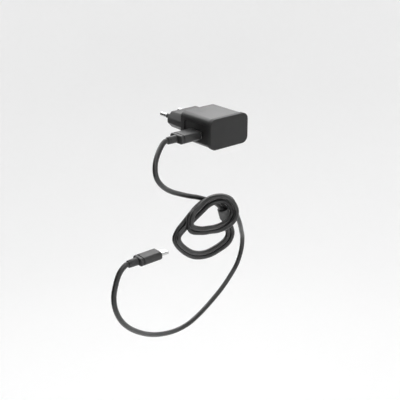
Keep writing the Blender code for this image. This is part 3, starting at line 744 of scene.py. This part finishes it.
def make_pin(side, materials):
    """A pin: a thin shank inside the sleeve, then full thickness to a round nose."""
    pin = box_of(f"pin_{side}")
    step = box_of(f"pin_sleeve_{side}").high.y + PIN_STEP
    profile = [
        (pin.low.y, PIN_SHANK), (step, PIN_SHANK), (step, PIN_RADIUS - PIN_CHAMFER),
        (step + PIN_CHAMFER, PIN_RADIUS), (pin.high.y - PIN_NOSE, PIN_RADIUS),
    ]
    for part in range(1, PIN_NOSE_RINGS + 1):
        turn = math.pi / 2 * part / PIN_NOSE_RINGS
        along = pin.high.y - PIN_NOSE + PIN_NOSE * math.sin(turn)
        profile.append((along, PIN_RADIUS - PIN_TAPER * (1 - math.cos(turn))))
    mesh = loft(turned(profile, "Y", (pin.middle.x, pin.middle.z)))
    link(f"contact_pin_{side}", mesh, materials, "pin_nickel", "charger", [f"pin_{side}"])


def make_sleeve(side, materials):
    """The insulating sleeve round a pin's shank, with its outer edge eased."""
    pin = box_of(f"pin_{side}").middle
    sleeve = box_of(f"pin_sleeve_{side}")
    outer = sleeve.size.x / 2
    profile = [
        (sleeve.low.y, outer), (sleeve.high.y - SLEEVE_EDGE, outer), (sleeve.high.y, outer - SLEEVE_EDGE),
        (sleeve.high.y, SLEEVE_INNER), (sleeve.low.y, SLEEVE_INNER),
    ]
    mesh = loft(turned(profile, "Y", (pin.x, pin.z)), closed=True)
    link(f"insulating_sleeve_{side}", mesh, materials, "sleeve_plastic", "charger", [f"pin_sleeve_{side}"])


# Plugs


def make_grip(name, node_name, corner, materials):
    """A moulded grip with round edges and a groove near its cord end, which faces -X."""
    grip = box_of(node_name)
    length = grip.size.x
    edges = fillet(GRIP_EDGE, steps=8)
    profile = list(edges)
    profile += [(length - GROOVE_FROM_END + along * MM, inward * MM) for along, inward in GRIP_GROOVE]
    profile += [(length - along, inward) for along, inward in reversed(edges)]
    rings = []
    for along, inward in profile:
        width, height = grip.size.y - 2 * inward, grip.size.z - 2 * inward
        outline = rectangle(width, height, corner - inward, steps=12)
        rings.append(section(outline, "X", grip.high.x - along, (grip.middle.y, grip.middle.z)))
    return link(name, loft(rings), materials, "plug_rubber", "cable", [node_name], angle=30)


def make_relief(name, node_name, materials):
    """A short tapered boot: a smooth barrel, then a groove and a rim where the cord leaves towards -X."""
    relief = box_of(node_name)
    radius = relief.size.z / 2
    profile = [(relief.high.x, radius)]
    profile += [(relief.low.x + from_end * MM, radius * share) for from_end, share in RELIEF_PROFILE]
    mesh = loft(turned(profile, "X", (relief.middle.y, relief.middle.z), sides=64))
    return link(name, mesh, materials, "plug_rubber", "cable", [node_name], angle=30)


def make_shell(name, node_name, corner, materials):
    """A drawn metal shell, open at its mouth."""
    shell = box_of(node_name)
    centre = (shell.middle.y, shell.middle.z)
    width, height = shell.size.y, shell.size.z
    outer = rectangle(width, height, corner)
    eased = rectangle(width - 2 * SHELL_EDGE, height - 2 * SHELL_EDGE, corner - SHELL_EDGE)
    inner = rectangle(width - 2 * SHEET, height - 2 * SHEET, corner - 0.8 * SHEET)
    rings = [
        section(outer, "X", shell.low.x, centre), section(outer, "X", shell.high.x - SHELL_EDGE, centre),
        section(eased, "X", shell.high.x, centre), section(inner, "X", shell.high.x, centre),
        section(inner, "X", shell.low.x, centre),
    ]
    return link(name, loft(rings, closed=True), materials, "usb_steel", "cable", [node_name])


def stamp_windows(piece, node_name):
    """Two stamped windows in each of a shell's broad faces."""
    shell = box_of(node_name)
    hole = rectangle(*SHELL_WINDOW, SHELL_WINDOW_CORNER, steps=4)
    shapes = []
    for across in (-SHELL_WINDOW_ACROSS, SHELL_WINDOW_ACROSS):
        spot = (shell.low.x + SHELL_WINDOW_ALONG * shell.size.x, shell.middle.y + across * shell.size.y)
        for sign in (-1, 1):
            reaches = (shell.size.z / 2 + OVERSHOOT, shell.size.z / 2 - 2 * SHEET)
            shapes.append(prism(hole, "Z", [shell.middle.z + sign * reach for reach in reaches], spot))
    cut(piece, shapes)


def ramp(value, limits):
    """Nought up to the first limit, one from the second limit on, and straight between them."""
    start, end = limits
    return min(1.0, max(0.0, (value - start) / (end - start)))


def make_tie(materials):
    """A hook-and-loop strap round the big loops' right side, with a free end that stands off a little."""
    along = Vector((math.sin(TIE_TILT), 0.0, -math.cos(TIE_TILT)))
    side = Vector((0.0, 1.0, 0.0)).cross(along).normalized()
    forward = Vector((0.0, -1.0, 0.0))
    middle = box_of("cable_tie").middle - along * TIE_RISE
    edge = TIE_THICKNESS / 2
    rings = []
    for step in range(TIE_STEPS + 1):
        share = step / TIE_STEPS
        turn = TIE_START + TIE_SWEEP * share
        radius = TIE_INSIDE + edge + TIE_SLACK * share
        radius += (TIE_THICKNESS + TIE_SLACK) * ramp(share, TIE_OVERLAP)
        radius += TIE_LIFT * ramp(share, TIE_FREE_END) ** 2
        half = TIE_WIDTH / 2 * (1.0 - TIE_TIP_NARROWING * ramp(share, TIE_TIP) ** 2)
        outward = side * math.cos(turn) + forward * math.sin(turn)
        outline = rectangle(2 * half, TIE_THICKNESS, TIE_CORNER, steps=3)
        rings.append([middle + outward * (radius + v) + along * u for u, v in outline])
    return link("cord_strap", loft(rings), materials, "tie_strap", "cable", ["cable_tie"])


# Studio


def make_camera():
    """The camera of the photograph."""
    data = bpy.data.cameras.new("camera")
    data.lens = CAMERA_LENS
    data.sensor_width = SENSOR_WIDTH
    data.clip_start = 0.01
    data.clip_end = 50.0
    camera = bpy.data.objects.new("camera", data)
    bpy.context.scene.collection.objects.link(camera)
    back = Vector((
        math.sin(CAMERA_AZIMUTH) * math.cos(CAMERA_ELEVATION),
        -math.cos(CAMERA_AZIMUTH) * math.cos(CAMERA_ELEVATION),
        math.sin(CAMERA_ELEVATION),
    ))
    facing = (-back).to_track_quat("-Z", "Y").to_matrix().to_4x4()
    camera.matrix_world = Matrix.Translation(CAMERA_PLACE) @ facing @ Matrix.Rotation(CAMERA_ROLL, 4, "Z")
    bpy.context.scene.camera = camera


def make_stage():
    """A pale round floor far below that curves up into a pale wall far away on every side."""
    flat = FLOOR_REACH - FLOOR_BEND
    profile = [(FLOOR_HEIGHT, FLOOR_MIDDLE), (FLOOR_HEIGHT, FLOOR_FLAT), (FLOOR_HEIGHT, flat)]
    for step in range(1, FLOOR_BEND_STEPS + 1):
        turn = math.pi / 2 * step / FLOOR_BEND_STEPS
        rise = FLOOR_BEND * (1 - math.cos(turn))
        profile.append((FLOOR_HEIGHT + rise, flat + FLOOR_BEND * math.sin(turn)))
    profile.append((WALL_TOP, FLOOR_REACH))
    mesh = loft(turned(profile, "Z", (0.0, 0.0), FLOOR_SIDES), last_end=False)
    mesh.materials.append(studio_paper())
    for face in mesh.polygons:
        face.use_smooth = True
    floor_piece = bpy.data.objects.new("studio_floor", mesh)
    bpy.context.scene.collection.objects.link(floor_piece)


def make_flag(name, place, width, height, facing):
    """A dark card that only shows in reflections, as a photographer's flag beside a glossy black object."""
    x, y = width / 2, height / 2
    mesh = bpy.data.meshes.new(name)
    mesh.from_pydata([(-x, -y, 0), (x, -y, 0), (x, y, 0), (-x, y, 0)], [], [(0, 1, 2, 3)])
    mesh.materials.append(dark_card())
    card = bpy.data.objects.new(name, mesh)
    card.location = place
    card.rotation_euler = Vector(facing).to_track_quat("Z", "Y").to_euler()
    card.visible_camera = False
    card.visible_diffuse = False
    card.visible_shadow = False
    bpy.context.scene.collection.objects.link(card)


def area_light(name, place, aim, size, power):
    """A soft rectangular light."""
    data = bpy.data.lights.new(name, "AREA")
    data.shape = "RECTANGLE"
    data.size, data.size_y = size
    data.energy = power
    lamp = bpy.data.objects.new(name, data)
    lamp.location = place
    lamp.rotation_euler = (Vector(aim) - Vector(place)).to_track_quat("-Z", "Y").to_euler()
    bpy.context.scene.collection.objects.link(lamp)


def make_lights():
    """Even light from the room, three soft boxes round the charger and a dark card at its left."""
    world = bpy.data.worlds.new("studio")
    world.use_nodes = True
    background = world.node_tree.nodes["Background"]
    background.inputs["Color"].default_value = (1.0, 1.0, 1.0, 1.0)
    background.inputs["Strength"].default_value = 0.25
    bpy.context.scene.world = world
    area_light("light_room", place=(0.0, 0.0, 2.4), aim=(0.0, 0.0, 0.0), size=(3.0, 3.0), power=32.0)
    area_light("light_over", place=(0.3, 0.95, 0.88), aim=SUBJECT, size=(1.3, 0.6), power=8.0)
    area_light("light_front", place=(-0.35, -0.85, 1.05), aim=SUBJECT, size=(0.6, 0.6), power=3.0)
    area_light("light_behind", place=(1.4, 1.0, 0.75), aim=SUBJECT, size=(1.1, 0.8), power=4.6)
    make_flag("flag_left", place=(-0.75, 0.35, -0.15), width=1.6, height=1.3, facing=(1.0, -0.25, 0.0))
    bpy.context.scene.view_settings.view_transform = "Standard"


def make_charger(materials):
    """Everything that stays in the wall."""
    make_housing(materials)
    make_cover(materials)
    make_panel(materials)
    make_neck(materials)
    for side in SIDES:
        make_pin(side, materials)
        make_sleeve(side, materials)


def make_cable(materials):
    """The cord with its two plugs and the strap; the pieces made here hang on the cable's body."""
    cord = make_cord(materials)
    usb_shell = make_shell("usb_metal_shell", "usb_plug_shell", SHELL_CORNER, materials)
    stamp_windows(usb_shell, "usb_plug_shell")
    on_cord = [
        usb_shell,
        make_grip("usb_grip", "usb_plug_grip", GRIP_CORNER, materials),
        make_relief("usb_strain_relief", "usb_plug_strain_relief", materials),
        make_shell("far_metal_shell", "far_plug_shell", FAR_SHELL_CORNER, materials),
        make_grip("far_grip", "far_plug_grip", FAR_GRIP_CORNER, materials),
        make_relief("far_strain_relief", "far_plug_strain_relief", materials),
        make_tie(materials),
        frame["nodes"]["far_plug_tongue"], frame["nodes"]["usb_plug_tongue"],
    ]
    on_cord += [frame["nodes"][f"usb_plug_contact_{index}"] for index in range(1, 5)]


def build():
    make_camera()
    materials = make_materials()
    dress_cad_nodes(materials)
    make_charger(materials)
    make_cable(materials)
    make_stage()
    make_lights()


build()
